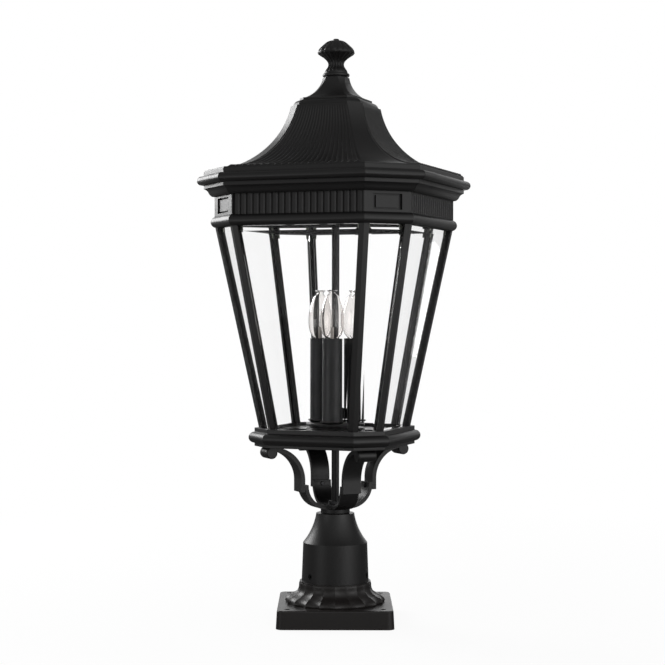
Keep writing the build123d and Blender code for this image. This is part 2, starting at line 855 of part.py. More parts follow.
def make_top_frame():
    """Head of the cage: a bead, a reeded frieze with corner panels and an inner lip."""
    edges = []
    side = Curve() + reeded_side(upper_side, upper_broad)
    for turn in (0, 90, 180, 270):
        edges += side.rotate(Axis.Z, turn).edges()
        ends = [Vector(upper_side, -upper_broad), Vector(upper_broad, -upper_side)]
        edges.append(Line(*[end.rotate(Axis.Z, turn) for end in ends]))
    frieze = Pos(0, 0, frieze_bottom) * extrude(make_face(edges), amount=frieze_height)
    back = -head_bead_back
    bead = moulding(upper_broad, upper_side, [
        (back, head_bottom),
        ((back + head_bead_bulge, (head_bottom + frieze_bottom) / 2), (back, frieze_bottom)),
    ])
    corner, corner_half = corner_sizes((upper_broad, upper_side))
    width = 2 * corner_half * panel_width_share
    height = frieze_height * panel_height_share
    middle = Pos(0, -corner, (frieze_bottom + frieze_top) / 2)
    recess = middle * Box(width, 2 * panel_groove_depth, height)
    field = middle * Pos(0, panel_groove_depth, 0) * Box(
        width - 2 * panel_groove_side,
        2 * (panel_groove_depth - panel_field_depth),
        height - 2 * panel_groove_edge,
    )
    frame = cut_by(frieze + bead, around(recess - field, 4, 45))
    hollow = octagon_prism(
        *grown(upper_broad, upper_side, -frieze_wall), head_bottom + head_lip_height, frieze_top + overrun
    )
    opening = octagon_prism(
        *grown(upper_broad, upper_side, -head_lip_inset), head_bottom - overrun, frieze_top + overrun
    )
    return frame - hollow - opening


def make_cornice():
    """Wave moulding, fillet, bead and edge of the roof, with a spigot inside the frieze."""
    foot = (wave_foot_reach, frieze_top)
    head = (wave_head_reach, wave_top)
    turn = ((foot[0] + head[0]) / 2, (foot[1] + head[1]) / 2)
    bead_back = cornice_bead_reach - cornice_bead_height / 2
    bead_middle = (cornice_bead_reach, (cornice_bead_bottom + cornice_bead_top) / 2)
    steps = [
        foot,
        (sweep_middle(foot, turn, -wave_bow_share), turn),
        (sweep_middle(turn, head, wave_bow_share), head),
        (cornice_edge_reach, wave_top),
        (cornice_edge_reach, cornice_bead_bottom),
        (bead_back, cornice_bead_bottom),
        (bead_middle, (bead_back, cornice_bead_top)),
        (cornice_edge_reach, cornice_bead_top),
        (cornice_edge_reach, cornice_top),
    ]
    ring = moulding(upper_broad, upper_side, steps)
    spigot_inset = frieze_wall + spigot_gap
    spigot = octagon_prism(
        *grown(upper_broad, upper_side, -spigot_inset), frieze_top - spigot_depth, cornice_top
    )
    opening = octagon_prism(
        *grown(upper_broad, upper_side, -spigot_inset - spigot_wall),
        frieze_top - spigot_depth - overrun,
        cornice_top + overrun,
    )
    return ring + spigot - opening


def roof_solid(inset, floor):
    """Swept roof, drawn in evenly; floor is the height where its foot starts."""
    foot = grown(upper_broad, upper_side, cornice_edge_reach - roof_foot_set_back)
    corner_foot = corner_distance(*foot)
    corner_top = corner_distance(roof_top_broad, roof_top_side)
    outlines = []
    for foot_distance, top_distance, bow_share in (
        (foot[0], roof_top_broad, roof_sweep_share),
        (corner_foot, corner_top, roof_corner_sweep_share),
    ):
        start = (foot_distance - inset, cornice_top + roof_foot_lip - inset / 2)
        end = (top_distance - inset, roof_top - inset)
        arc = (sweep_middle(start, end, bow_share), end)
        outlines.append([(start[0], floor), start, arc])
    return octagon_stack(0, corner_foot, outlines[0], [
        (step[0] - corner_foot, step[1]) if not isinstance(step[0], tuple)
        else tuple((x - corner_foot, z) for x, z in step)
        for step in outlines[1]
    ])


def make_roof_shell():
    """Hollow bell-shaped roof with a flat top and a hole for the stem."""
    outside = roof_solid(0, cornice_top)
    inside = roof_solid(roof_wall, cornice_top - overrun)
    opening_inset = frieze_wall + spigot_gap + spigot_wall
    bound = octagon_prism(
        *grown(upper_broad, upper_side, -opening_inset), cornice_top - overrun, roof_top
    )
    hole = disc(stem_radius + stem_hole_gap, roof_top - roof_wall - overrun, roof_top + overrun)
    return outside - (inside & bound) - hole


def make_roof_cap():
    """Rounded ledge, thin plate and small swept crown on the roof."""
    round_foot = (-ledge_step, ledge_round_bottom)
    round_head = (-ledge_step - ledge_round_reach, ledge_round_top)
    plate_edge = round_head[0] + ledge_plate_lip
    ledge = moulding(roof_top_broad, roof_top_side, [
        (-ledge_step, roof_top),
        round_foot,
        (sweep_middle(round_foot, round_head, -ledge_round_share), round_head),
        (plate_edge, ledge_round_top),
        (plate_edge, ledge_top),
    ])
    crown_broad, crown_side = grown(roof_top_broad, roof_top_side, plate_edge - crown_set_back)
    crown_corner = corner_distance(crown_broad, crown_side)
    outlines = []
    for foot, top, bow_share in (
        (crown_broad, crown_top_broad, crown_sweep_share),
        (crown_corner, crown_top_corner, crown_corner_sweep_share),
    ):
        start = (foot, ledge_top)
        end = (top, crown_top)
        middle = sweep_middle(start, end, bow_share)
        outlines.append([(0, ledge_top), ((middle[0] - foot, middle[1]), (top - foot, crown_top))])
    crown = octagon_stack(crown_broad, crown_corner, *outlines)
    return ledge + crown - disc(stem_radius + stem_hole_gap, roof_top - overrun, crown_top + overrun)


def make_finial_washer():
    """Sealing washer under the finial."""
    return tube(washer_diameter / 2, stem_radius + stem_hole_gap, crown_top, finial_bottom)


def make_finial():
    """Turned base, fluted neck, lobed dome and button, with a threaded blind bore."""
    base_top = finial_bottom + finial_base_height
    bead_top = base_top - finial_base_height / 3
    base = disc(finial_base_diameter / 2, finial_bottom, bead_top)
    base = fillet(base.edges(), finial_base_round)
    shoulder = disc(finial_shoulder_diameter / 2, bead_top, base_top)
    neck = finial_neck_diameter / 2
    rim = finial_diameter / 2
    neck_levels = [
        (base_top + rise * neck_height, neck + spread * (rim - neck), neck_flute_depth)
        for rise, spread in zip(neck_rise_shares, neck_spread_shares)
    ]
    neck_solid = fluted_loft(neck_levels, neck_flute_count)
    rim_bottom = base_top + neck_height
    rim_top = rim_bottom + dome_rim_height
    band = disc(rim, rim_bottom, rim_top)
    dome_levels = [
        (rim_top + rise * dome_height, width * rim * (1 - dome_lobe_share), -width * rim * dome_lobe_share)
        for rise, width in zip(dome_rise_shares, dome_width_shares)
    ]
    dome = fluted_loft(dome_levels, dome_lobe_count)
    dome_top = rim_top + dome_height
    button = disc(button_diameter / 2, dome_top, dome_top + button_height)
    button = fillet(button.edges().group_by(Axis.Z)[-1], button_height * 2 / 3)
    bore = disc(stem_radius + running_gap, finial_bottom - overrun, stem_top + finial_bore_spare)
    return base + shoulder + neck_solid + band + dome + button - bore


def numbered(name, pieces):
    """Names for a row of like pieces."""
    return {f"{name}_{index + 1}": piece for index, piece in enumerate(pieces)}


def head_parts():
    """Everything that turns with the lantern, before it is turned."""
    broad, corner = pane_sizes()
    broad_clips = Compound(children=make_clips(*broad))
    corner_clips = Compound(children=make_clips(*corner))
    clips = []
    for turn in (0, 90, 180, 270):
        clips += broad_clips.rotate(Axis.Z, turn).solids()
        clips += corner_clips.rotate(Axis.Z, turn + 45).solids()
    parts = {
        "post_fitter": make_post_fitter(),
        "neck_collar": make_neck_collar(),
        "arm_cradle": make_arm_cradle(),
        "lap_screws": Compound(children=make_lap_screws()),
        "arm_studs": Compound(children=make_arm_studs()),
        "hub_locknut": hex_nut(nut_width, hub_top, nut_height, stem_fit),
        "stem_foot_nut": hex_nut(nut_width, fitter_top - fitter_wall - nut_height, nut_height, stem_fit),
        "central_stem": make_central_stem(),
        "bottom_frame": make_bottom_frame(),
        "floor_plate": make_floor_plate(),
        "cluster_canopy": make_cluster_canopy(),
        "hub_cover": make_hub_cover(),
        "candle_cups": Compound(children=candle_places(make_candle_cup())),
        "lamp_holders": Compound(children=candle_places(make_lamp_holder())),
        "pane_clips": Compound(children=clips),
        "top_frame": make_top_frame(),
        "cornice": make_cornice(),
        "roof_shell": make_roof_shell(),
        "roof_cap": make_roof_cap(),
        "finial_washer": make_finial_washer(),
        "finial": make_finial(),
    }
    parts |= numbered("set_screw", around(make_set_screw(), screw_count, screw_azimuth))
    parts |= numbered("scroll_arm", around(make_scroll_arm(), 4, 45))
    parts |= numbered("candle_sleeve", candle_places(make_candle_sleeve()))
    parts |= numbered("bulb_cap", candle_places(make_bulb_cap()))
    parts |= numbered("bulb_glass", candle_places(make_bulb_glass()))
    parts |= numbered("bulb_filament", candle_places(make_bulb_filament()))
    parts |= numbered("glazing_bar", make_glazing_bars())
    parts |= numbered("broad_pane", around(make_pane(*broad), 4, 0))
    parts |= numbered("corner_pane", around(make_pane(*corner), 4, 45))
    return parts


def main():
    """Write one file for each node."""
    os.makedirs("parts", exist_ok=True)
    parts = {name: part.rotate(Axis.Z, head_turn) for name, part in head_parts().items()}
    parts["pier_base"] = make_pier_base()
    parts["post_stub"] = make_post_stub()
    for name, part in parts.items():
        export_step(part, f"parts/{name}.step")


main()
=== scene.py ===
"""Outdoor pedestal light: finished castings, bevelled glazing, candle lamps and a plain white studio."""

import json
import math

import bpy
from mathutils import Matrix, Vector
from mathutils.bvhtree import BVHTree


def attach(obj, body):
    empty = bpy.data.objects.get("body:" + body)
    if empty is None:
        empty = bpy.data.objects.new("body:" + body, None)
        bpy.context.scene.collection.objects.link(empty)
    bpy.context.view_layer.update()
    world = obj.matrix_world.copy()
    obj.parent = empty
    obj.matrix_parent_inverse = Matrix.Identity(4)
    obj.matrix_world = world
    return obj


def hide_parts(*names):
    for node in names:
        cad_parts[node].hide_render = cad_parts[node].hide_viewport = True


bl_info = {
    "name": "Pedestal light",
    "version": (1, 0, 0),
    "blender": (4, 5, 0),
    "location": "View3D > Sidebar > Pedestal light",
    "description": "Finishes the pieces of an outdoor pedestal light and sets it in a plain studio",
    "category": "Object",
}

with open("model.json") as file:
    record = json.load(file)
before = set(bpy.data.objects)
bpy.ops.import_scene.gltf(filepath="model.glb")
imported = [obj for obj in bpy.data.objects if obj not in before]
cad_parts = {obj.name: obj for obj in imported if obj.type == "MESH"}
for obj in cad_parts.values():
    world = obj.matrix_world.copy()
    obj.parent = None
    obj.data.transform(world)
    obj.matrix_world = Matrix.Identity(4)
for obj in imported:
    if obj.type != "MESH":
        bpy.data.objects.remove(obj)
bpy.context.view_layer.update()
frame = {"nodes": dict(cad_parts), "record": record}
BODIES = frame["record"]["behaviour"]["bodies"]
BODY_OF = {node: body for body, nodes in BODIES.items() for node in nodes}
SLOT_OF = {part["node"]: part["material_slot"] for part in frame["record"]["subparts"]}

# One millimetre in the frame's unit.
MM = 0.001

# In degrees: sharper edges than the first are eased, and flatter edges than the second are shaded smooth.
STRAP_ANGLES = (32, 20)
MOULDING_ANGLES = (28, 12)

# Merged copies: points closer than this are one, and facets within this many degrees are one face.
MERGE_GAP = 0.002 * MM
FLAT_ANGLE = 0.4

# Features of the finishes to the metre; the drawn lines have them across and along the tube.
COAT_CLOUDS, COAT_PEBBLES, COAT_SPECKS = 22.0, 1500.0, 420.0
ENAMEL_CLOUDS = 35.0
DRAWN_LINES = (900.0, 900.0, 12.0)
PLASTIC_GRAIN, PLASTIC_CLOUDS = 900.0, 60.0

# How much the coat's roughness wanders, and the relief of fine marks, in metres.
COAT_UNEVEN = 0.10
FINE_RELIEF = 0.00002

# Below this height the coat is the one of the pier base, and the width of the change.
BASE_TOP = 50.8 * MM
BASE_CHANGE = 0.2 * MM

# The pier base comes from a slightly browner batch of the same coat.
BASE_COAT = (0.0085, 0.0066, 0.0060)

# The panes bend light less than real glass, because eight glass surfaces would dull the white behind them.
BULB_IOR, PANE_IOR = 1.5, 1.15

# How white the floor shows near the light and far off, where the fade starts and how wide it is, in metres.
FLOOR_NEAR, FLOOR_FAR = 0.92, 1.0
FADE_START, FADE_WIDTH = 0.35, 0.9
GROUND_RADIUS = 1.6
GROUND_DROP = 0.2 * MM

# Strength of the floor in reflections, of the dim studio in reflections, and of the world as a light.
FLOOR_MIRRORED = 0.08
STUDIO_MIRRORED = 0.18
WORLD_LIGHT = 0.7

# Soft patches in the reflected studio: direction of the middle, cosine at the edge, strength.
PATCHES = (
    ((0.74, -0.66, 0.1), 0.6, 0.85),
    ((-0.82, -0.57, 0.0), 0.6, 0.1),
    ((0.0, 0.995, 0.1), 0.93, 1.5),
    ((0.0, -0.7, 0.7), 0.7, 0.16),
    ((0.3, 0.94, 0.15), 0.93, 1.2),
    ((0.1, -1.0, 0.25), 0.6, 0.17),
)

# The materials by slot, once they are made.
FINISHES = {}

# Lamps: name, place, what it points at, width in metres, power in watts.
LAMPS = (
    ("back_left_lamp", (-1.25, 1.15, 1.08), (0, 0, 1.0), 0.9, 20.0),
    ("left_low_lamp", (-0.95, -0.75, 0.16), (0, 0, 0.12), 0.6, 1.3),
    ("right_low_lamp", (0.85, -0.8, 0.16), (0, 0, 0.12), 0.6, 1.3),
)

# Facets across one reed and along it, steps up the roof's outline, and how both crowd towards the foot.
REED_FACETS = 8
REED_ROWS = 48
OUTLINE_STEPS = 160
CROWDING = 1.6

# Reeds: how the rise falls with the width, the skin's thickness, and its lift between the reeds.
REED_FALL = 1.5
REED_SKIN = 0.5 * MM
REED_LIFT = 0.1 * MM
REED_EDGE_DROP = 0.4 * MM
REED_SMOOTH = 30.0

# How far from the roof's foot and top the reeds stop, and from how far out the roof is searched.
REED_FOOT, REED_TOP = 0.8 * MM, 0.3 * MM
ROOF_REACH = 0.5


class LightView(bpy.types.PropertyGroup):
    """Where the camera stands and how it frames the light."""

    side: bpy.props.FloatProperty(
        name="Sideways",
        description="How far the camera stands to the left of the stem",
        default=0.0041,
        unit="LENGTH",
    )
    distance: bpy.props.FloatProperty(
        name="Distance",
        description="Distance of the camera in front of the stem",
        default=2.101,
        unit="LENGTH",
    )
    height: bpy.props.FloatProperty(
        name="Eye height",
        description="Height of the camera above the foot of the base",
        default=0.3961,
        unit="LENGTH",
    )
    lens: bpy.props.FloatProperty(
        name="Lens",
        description="Focal length in millimetres on a 36 mm sensor",
        default=87.48,
    )
    drop: bpy.props.FloatProperty(
        name="Frame drop",
        description="Upright shift of the frame, as a share of its width",
        default=-0.0272,
    )
    roll: bpy.props.FloatProperty(
        name="Roll",
        description="Turn of the camera about its line of sight",
        default=-0.002,
        unit="ROTATION",
    )


class LightFinishes(bpy.types.PropertyGroup):
    """Colours and gloss of the finishes."""

    coat: bpy.props.FloatVectorProperty(
        name="Powder coat",
        description="Colour of the black powder coat",
        subtype="COLOR",
        size=3,
        default=(0.0056, 0.0052, 0.0053),
    )
    coat_roughness: bpy.props.FloatProperty(
        name="Coat roughness",
        description="Roughness of the powder coat",
        default=0.42,
        min=0.0,
        max=1.0,
        subtype="FACTOR",
    )
    coat_grain: bpy.props.FloatProperty(
        name="Coat grain",
        description="Depth of the powder coat's fine grain",
        default=0.00006,
        unit="LENGTH",
    )
    sleeve: bpy.props.FloatVectorProperty(
        name="Sleeve enamel",
        description="Colour of the candle sleeves",
        subtype="COLOR",
        size=3,
        default=(0.0092, 0.0094, 0.0104),
    )
    pane_tint: bpy.props.FloatVectorProperty(
        name="Pane tint",
        description="Colour of the light that the panes let through",
        subtype="COLOR",
        size=3,
        default=(1.0, 1.0, 1.0),
    )
    bulb_tint: bpy.props.FloatVectorProperty(
        name="Bulb tint",
        description="Colour of the light that the bulbs let through",
        subtype="COLOR",
        size=3,
        default=(0.985, 0.968, 0.958),
    )


class LightDetails(bpy.types.PropertyGroup):
    """Sizes of the details that the castings get here."""

    strap_arris: bpy.props.FloatProperty(
        name="Strap arris",
        description="Width of the eased edges of the scroll arms and the cradle",
        default=0.0006,
        unit="LENGTH",
    )
    moulding_arris: bpy.props.FloatProperty(
        name="Moulding arris",
        description="Width of the eased edges of the mouldings",
        default=0.0006,
        unit="LENGTH",
    )
    head_turn: bpy.props.FloatProperty(
        name="Turn of the lantern",
        description="Angle of the lantern on its post",
        default=math.radians(-21.3),
        unit="ROTATION",
    )
    roof_reeds: bpy.props.IntProperty(
        name="Roof reeds",
        description="Reeds on each broad face of the roof",
        default=20,
        min=3,
    )
    reed_rise: bpy.props.FloatProperty(
        name="Reed rise",
        description="Height of a roof reed at the foot of the roof",
        default=0.0024,
        unit="LENGTH",
    )
    reed_border: bpy.props.FloatProperty(
        name="Reed border",
        description="Plain strip between the reeds and the hips, as a share of the face's width",
        default=0.045,
        min=0.0,
        max=0.3,
        subtype="FACTOR",
    )


class Socket:
    """An output of a node; arithmetic on it adds Math nodes."""

    def __init__(self, finish, output):
        self.finish = finish
        self.output = output

    def maths(self, operation, *values):
        """A Math node on values or links."""
        return self.finish.node("ShaderNodeMath", {"operation": operation}, dict(enumerate(values)))

    def __add__(self, other):
        return self.maths("ADD", self, other)

    def __radd__(self, other):
        return self.maths("ADD", other, self)

    def __sub__(self, other):
        return self.maths("SUBTRACT", self, other)

    def __rsub__(self, other):
        return self.maths("SUBTRACT", other, self)

    def __mul__(self, other):
        return self.maths("MULTIPLY", self, other)

    def __rmul__(self, other):
        return self.maths("MULTIPLY", other, self)

    def __truediv__(self, other):
        return self.maths("DIVIDE", self, other)

    def clamped(self):
        """The value kept between 0 and 1."""
        return self.maths("MINIMUM", self.maths("MAXIMUM", self, 0.0), 1.0)


class Finish:
    """A material or world under construction."""

    def __init__(self, owner):
        owner.use_nodes = True
        self.owner = owner
        self.tree = owner.node_tree
        self.tree.nodes.clear()

    def node(self, kind, settings=None, inputs=None, output=0):
        """Add a node with its settings, then its sockets' values or links."""
        node = self.tree.nodes.new(kind)
        for key, value in (settings or {}).items():
            setattr(node, key, value)
        for key, value in (inputs or {}).items():
            if isinstance(value, Socket):
                self.tree.links.new(value.output, node.inputs[key])
            else:
                node.inputs[key].default_value = value
        return Socket(self, node.outputs[output]) if node.outputs else None

    def output(self, surface):
        """Close the tree and return its material or world."""
        kind = "World" if isinstance(self.owner, bpy.types.World) else "Material"
        self.node("ShaderNodeOutput" + kind, inputs={"Surface": surface})
        return self.owner

    def place(self):
        """The piece's own place, in metres."""
        return self.node("ShaderNodeTexCoord", output="Object")

    def noise(self, scale, detail=2.0, roughness=0.5):
        """Cloudy noise of a given number of features to the metre, from 0 to 1."""
        return self.node(
            "ShaderNodeTexNoise",
            inputs={"Vector": self.place(), "Scale": scale, "Detail": detail, "Roughness": roughness},
        )

    def blend(self, factor, first, second):
        """A colour between two others."""
        settings = {"data_type": "RGBA"}
        return self.node("ShaderNodeMix", settings, {0: factor, 6: rgba(first), 7: rgba(second)}, output=2)

    def bump(self, height, distance):
        """A normal that follows a height."""
        return self.node("ShaderNodeBump", inputs={"Height": height, "Distance": distance, "Strength": 1.0})

    def mix(self, factor, first, second):
        """A blend of two shaders."""
        return self.node("ShaderNodeMixShader", inputs={0: factor, 1: first, 2: second})

    def principled(self, **inputs):
        """A Principled shader; a socket's spaces are written as underscores."""
        names = {key.replace("_", " "): value for key, value in inputs.items()}
        return self.node("ShaderNodeBsdfPrincipled", inputs=names)

    def ray(self, kind):
        """1 on rays of a kind, 0 on others."""
        return self.node("ShaderNodeLightPath", output=kind)


def rgba(colour):
    """A colour with a full alpha, or a link left as it is."""
    return colour if isinstance(colour, Socket) else (*colour[:3], 1.0)


def scaled(colour, share):
    """A colour darkened or lightened."""
    return tuple(channel * share for channel in colour)


def new_finish(name):
    """A new material under construction, kept under the name of its slot."""
    FINISHES[name] = bpy.data.materials.new(name)
    return Finish(FINISHES[name])


def powder_coat(name, colour, roughness, grain):
    """Satin powder coat: a fine pebbled grain, faint clouding and slightly uneven gloss."""
    finish = new_finish(name)
    cloud = finish.noise(COAT_CLOUDS, detail=3.0)
    pebble = finish.noise(COAT_PEBBLES, detail=1.5, roughness=0.4)
    speck = finish.noise(COAT_SPECKS, detail=2.0)
    tint = finish.blend(cloud, scaled(colour, 0.85), scaled(colour, 1.2))
    height = finish.node("ShaderNodeSeparateXYZ", inputs={0: finish.place()}, output="Z")
    below = ((BASE_TOP - height) / BASE_CHANGE).clamped()
    tint = finish.blend(below, tint, BASE_COAT)
    rough = roughness + (cloud - 0.5) * COAT_UNEVEN + (speck - 0.5) * COAT_UNEVEN
    shader = finish.principled(
        Base_Color=tint,
        Roughness=rough,
        Specular_IOR_Level=0.5,
        Normal=finish.bump(pebble * 0.7 + speck * 0.3, grain),
    )
    finish.output(shader)


def enamel(name, colour):
    """Smooth satin enamel of the candle sleeves, with faint drawn lines along the tube."""
    finish = new_finish(name)
    stretch = finish.node("ShaderNodeMapping", inputs={"Vector": finish.place(), "Scale": DRAWN_LINES})
    lines = finish.node("ShaderNodeTexNoise", inputs={"Vector": stretch, "Scale": 1.0, "Detail": 2.0})
    cloud = finish.noise(ENAMEL_CLOUDS)
    tint = finish.blend(cloud, scaled(colour, 0.9), scaled(colour, 1.12))
    shader = finish.principled(
        Base_Color=tint,
        Roughness=0.4 + (lines - 0.5) * 0.12,
        Normal=finish.bump(lines, FINE_RELIEF),
    )
    finish.output(shader)


def clear_glass(name, tint, ior, ripple, ripple_scale):
    """Clear glass that lets the light of lamps through, with ripples in its surface."""
    finish = new_finish(name)
    wave = finish.bump(finish.noise(ripple_scale, detail=1.0), ripple)
    glass = finish.principled(
        Base_Color=rgba(tint), Roughness=0.0, IOR=ior, Transmission_Weight=1.0, Normal=wave
    )
    open_way = finish.node("ShaderNodeBsdfTransparent", inputs={"Color": rgba(tint)})
    finish.output(finish.mix(finish.ray("Is Shadow Ray"), glass, open_way))


def metal(name, colour, roughness, scale):
    """Bare or blackened metal with fine handling marks."""
    finish = new_finish(name)
    marks = finish.noise(scale, detail=4.0, roughness=0.65)
    tint = finish.blend(marks, scaled(colour, 0.8), scaled(colour, 1.15))
    shader = finish.principled(
        Base_Color=tint,
        Metallic=1.0,
        Roughness=roughness + (marks - 0.5) * 0.2,
        Normal=finish.bump(marks, FINE_RELIEF),
    )
    finish.output(shader)


def moulded_plastic(name, colour):
    """Matte moulded plastic of the lamp holders."""
    finish = new_finish(name)
    grain = finish.noise(PLASTIC_GRAIN)
    cloud = finish.noise(PLASTIC_CLOUDS)
    shader = finish.principled(
        Base_Color=finish.blend(cloud, scaled(colour, 0.9), scaled(colour, 1.15)),
        Roughness=0.55 + (grain - 0.5) * 0.15,
        Normal=finish.bump(grain, 2 * FINE_RELIEF),
    )
    finish.output(shader)


def make_finishes():
    """Make one material for each slot of the record."""
    chosen = bpy.context.scene.light_finishes
    black, grain = tuple(chosen.coat), chosen.coat_grain
    pane, bulb = tuple(chosen.pane_tint), tuple(chosen.bulb_tint)
    powder_coat("powder_coated_aluminium", black, roughness=chosen.coat_roughness, grain=grain)
    powder_coat("painted_steel", black, roughness=0.38, grain=grain * 0.5)
    metal("blackened_steel", (0.05, 0.05, 0.052), roughness=0.38, scale=700.0)
    enamel("sleeve_enamel", tuple(chosen.sleeve))
    metal("clip_steel", (0.24, 0.25, 0.22), roughness=0.4, scale=500.0)
    moulded_plastic("holder_plastic", (0.018, 0.018, 0.018))
    metal("nickel_cap", (0.62, 0.6, 0.56), roughness=0.25, scale=600.0)
    clear_glass("bulb_clear_glass", bulb, ior=BULB_IOR, ripple=0.00004, ripple_scale=60.0)
    metal("filament_wire", (0.4, 0.38, 0.36), roughness=0.35, scale=900.0)
    clear_glass("bevelled_glass", pane, ior=PANE_IOR, ripple=0.00003, ripple_scale=14.0)


def select_only(piece):
    """Leave one piece selected and active."""
    bpy.ops.object.select_all(action="DESELECT")
    piece.select_set(True)
    bpy.context.view_layer.objects.active = piece


def edit(piece):
    """Open a piece in edit mode with everything selected."""
    select_only(piece)
    bpy.ops.object.mode_set(mode="EDIT")
    bpy.ops.mesh.select_all(action="SELECT")


def leave_edit():
    """Return to object mode."""
    bpy.ops.object.mode_set(mode="OBJECT")


def apply_modifier(piece, kind, **settings):
    """Add a modifier and apply it."""
    select_only(piece)
    modifier = piece.modifiers.new(kind.lower(), kind)
    for key, value in settings.items():
        setattr(modifier, key, value)
    bpy.ops.object.modifier_apply(modifier=modifier.name)


def smooth(piece, angle):
    """Smooth shading over edges flatter than an angle in degrees."""
    select_only(piece)
    bpy.ops.object.shade_smooth_by_angle(angle=math.radians(angle))


def settle(piece):
    """Bring a piece's object to the origin, unturned and unscaled."""
    select_only(piece)
    bpy.ops.object.transform_apply(location=True, rotation=True, scale=True)


def mount(piece, node, stands_for=()):
    """Give a piece the finish and the body of a CAD node, and hide the nodes it stands for."""
    piece.data.materials.clear()
    piece.data.materials.append(FINISHES[SLOT_OF[node]])
    if stands_for:
        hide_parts(*stands_for)
    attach(piece, BODY_OF[node])
    return piece


def coat(*nodes):
    """Give CAD nodes, which keep their own meshes, the finishes of their slots."""
    for node in nodes:
        mesh = frame["nodes"][node].data
        mesh.materials.clear()
        mesh.materials.append(FINISHES[SLOT_OF[node]])


def eased_copy(node, arris, angles):
    """A merged copy of a CAD node with eased arrises, which stands for it."""
    eased, shaded = angles
    piece = bpy.data.objects.new(node + "_finished", frame["nodes"][node].data.copy())
    bpy.context.scene.collection.objects.link(piece)
    select_only(piece)
    if piece.data.has_custom_normals:
        bpy.ops.mesh.customdata_custom_splitnormals_clear()
    edit(piece)
    bpy.ops.mesh.remove_doubles(threshold=MERGE_GAP)
    bpy.ops.mesh.dissolve_limited(angle_limit=math.radians(FLAT_ANGLE), delimit={"NORMAL"})
    leave_edit()
    apply_modifier(
        piece,
        "BEVEL",
        width=arris,
        segments=2,
        limit_method="ANGLE",
        angle_limit=math.radians(eased),
        use_clamp_overlap=True,
    )
    smooth(piece, shaded)
    return mount(piece, node, [node])


def numbered(name, count):
    """The names of nodes that are numbered from 1."""
    return [f"{name}_{index + 1}" for index in range(count)]


class PEDESTAL_OT_stage(bpy.types.Operator):
    """Set up the camera, the lamps, the white ground and the world"""

    bl_idname = "pedestal.stage"
    bl_label = "Studio"

    def execute(self, context):
        chosen = context.scene.light_view
        camera = bpy.data.objects.new("camera", bpy.data.cameras.new("camera"))
        context.scene.collection.objects.link(camera)
        camera.location = (-chosen.side, -chosen.distance, chosen.height)
        camera.rotation_euler = (math.radians(90), chosen.roll, 0)
        camera.data.lens = chosen.lens
        camera.data.sensor_width = 36.0
        camera.data.shift_y = chosen.drop
        context.scene.camera = camera
        context.scene.view_settings.view_transform = "Standard"
        lay_ground()
        light_world(context)
        for lamp in LAMPS:
            softbox(*lamp)
        return {"FINISHED"}


def softbox(name, place, target, width, power):
    """A square studio lamp that points at a target."""
    lamp = bpy.data.objects.new(name, bpy.data.lights.new(name, "AREA"))
    bpy.context.scene.collection.objects.link(lamp)
    lamp.data.shape = "SQUARE"
    lamp.data.size = width
    lamp.data.energy = power
    lamp.location = place
    lamp.rotation_euler = (Vector(target) - Vector(place)).to_track_quat("-Z", "Y").to_euler()


def white_view(finish):
    """1 where the camera looks, straight or through glass, and 0 for reflections and as a light."""
    camera = finish.ray("Is Camera Ray")
    straight = camera.maths("MAXIMUM", camera, finish.ray("Is Transmission Ray"))
    bounced = (finish.ray("Glossy Depth") + finish.ray("Diffuse Depth")).clamped()
    return straight * (1 - bounced)


def lay_ground():
    """A round white ground that fades into the white world and keeps a soft shadow."""
    bpy.ops.mesh.primitive_circle_add(
        vertices=96, radius=GROUND_RADIUS, fill_type="NGON", location=(0, 0, -GROUND_DROP)
    )
    ground = bpy.context.object
    ground.name = "ground"
    settle(ground)
    finish = new_finish("white_ground")
    length = {"operation": "LENGTH"}
    distance = finish.node("ShaderNodeVectorMath", length, {0: finish.place()}, output="Value")
    fade = ((distance - FADE_START) / FADE_WIDTH).clamped()
    lit = finish.principled(Base_Color=(0.9, 0.9, 0.9, 1.0), Roughness=0.9, Specular_IOR_Level=0.0)
    white = finish.node("ShaderNodeEmission", inputs={"Color": (1, 1, 1, 1), "Strength": 1.0})
    grey = finish.node("ShaderNodeEmission", inputs={"Color": (1, 1, 1, 1), "Strength": FLOOR_MIRRORED})
    view = white_view(finish)
    seen = finish.mix(view * (fade * (FLOOR_FAR - FLOOR_NEAR) + FLOOR_NEAR), lit, white)
    mirrored = finish.ray("Is Glossy Ray") * (1 - view)
    ground.data.materials.append(finish.output(finish.mix(mirrored, seen, grey)))


def lobe(finish, way, middle, edge, amount):
    """A soft patch of light: its amount in the middle, nothing beyond an edge given as a cosine."""
    dot = {"operation": "DOT_PRODUCT"}
    facing = finish.node("ShaderNodeVectorMath", dot, {0: way, 1: middle}, output="Value")
    return ((facing - edge) / (1 - edge)).clamped() * amount


def light_world(context):
    """White where it is seen; to reflections a dim studio with soft patches; as a light, even."""
    world = bpy.data.worlds.new("studio")
    context.scene.world = world
    finish = Finish(world)
    way = finish.node("ShaderNodeTexCoord", output="Generated")
    gloss = STUDIO_MIRRORED
    for patch in PATCHES:
        gloss = lobe(finish, way, *patch) + gloss
    glossy = finish.ray("Is Glossy Ray")
    strength = gloss * glossy + WORLD_LIGHT * (1 - glossy)
    seen = white_view(finish)
    strength = strength * (1 - seen) + seen
    inputs = {"Color": (1, 1, 1, 1), "Strength": strength}
    finish.output(finish.node("ShaderNodeBackground", inputs=inputs))


class PEDESTAL_OT_base(bpy.types.Operator):
    """Finish the pier base, the post stub and the fitter with its set screws"""

    bl_idname = "pedestal.base"
    bl_label = "Base and fitter"

    def execute(self, context):
        coat("pier_base", "post_stub", "post_fitter", "neck_collar", *numbered("set_screw", 3))
        return {"FINISHED"}


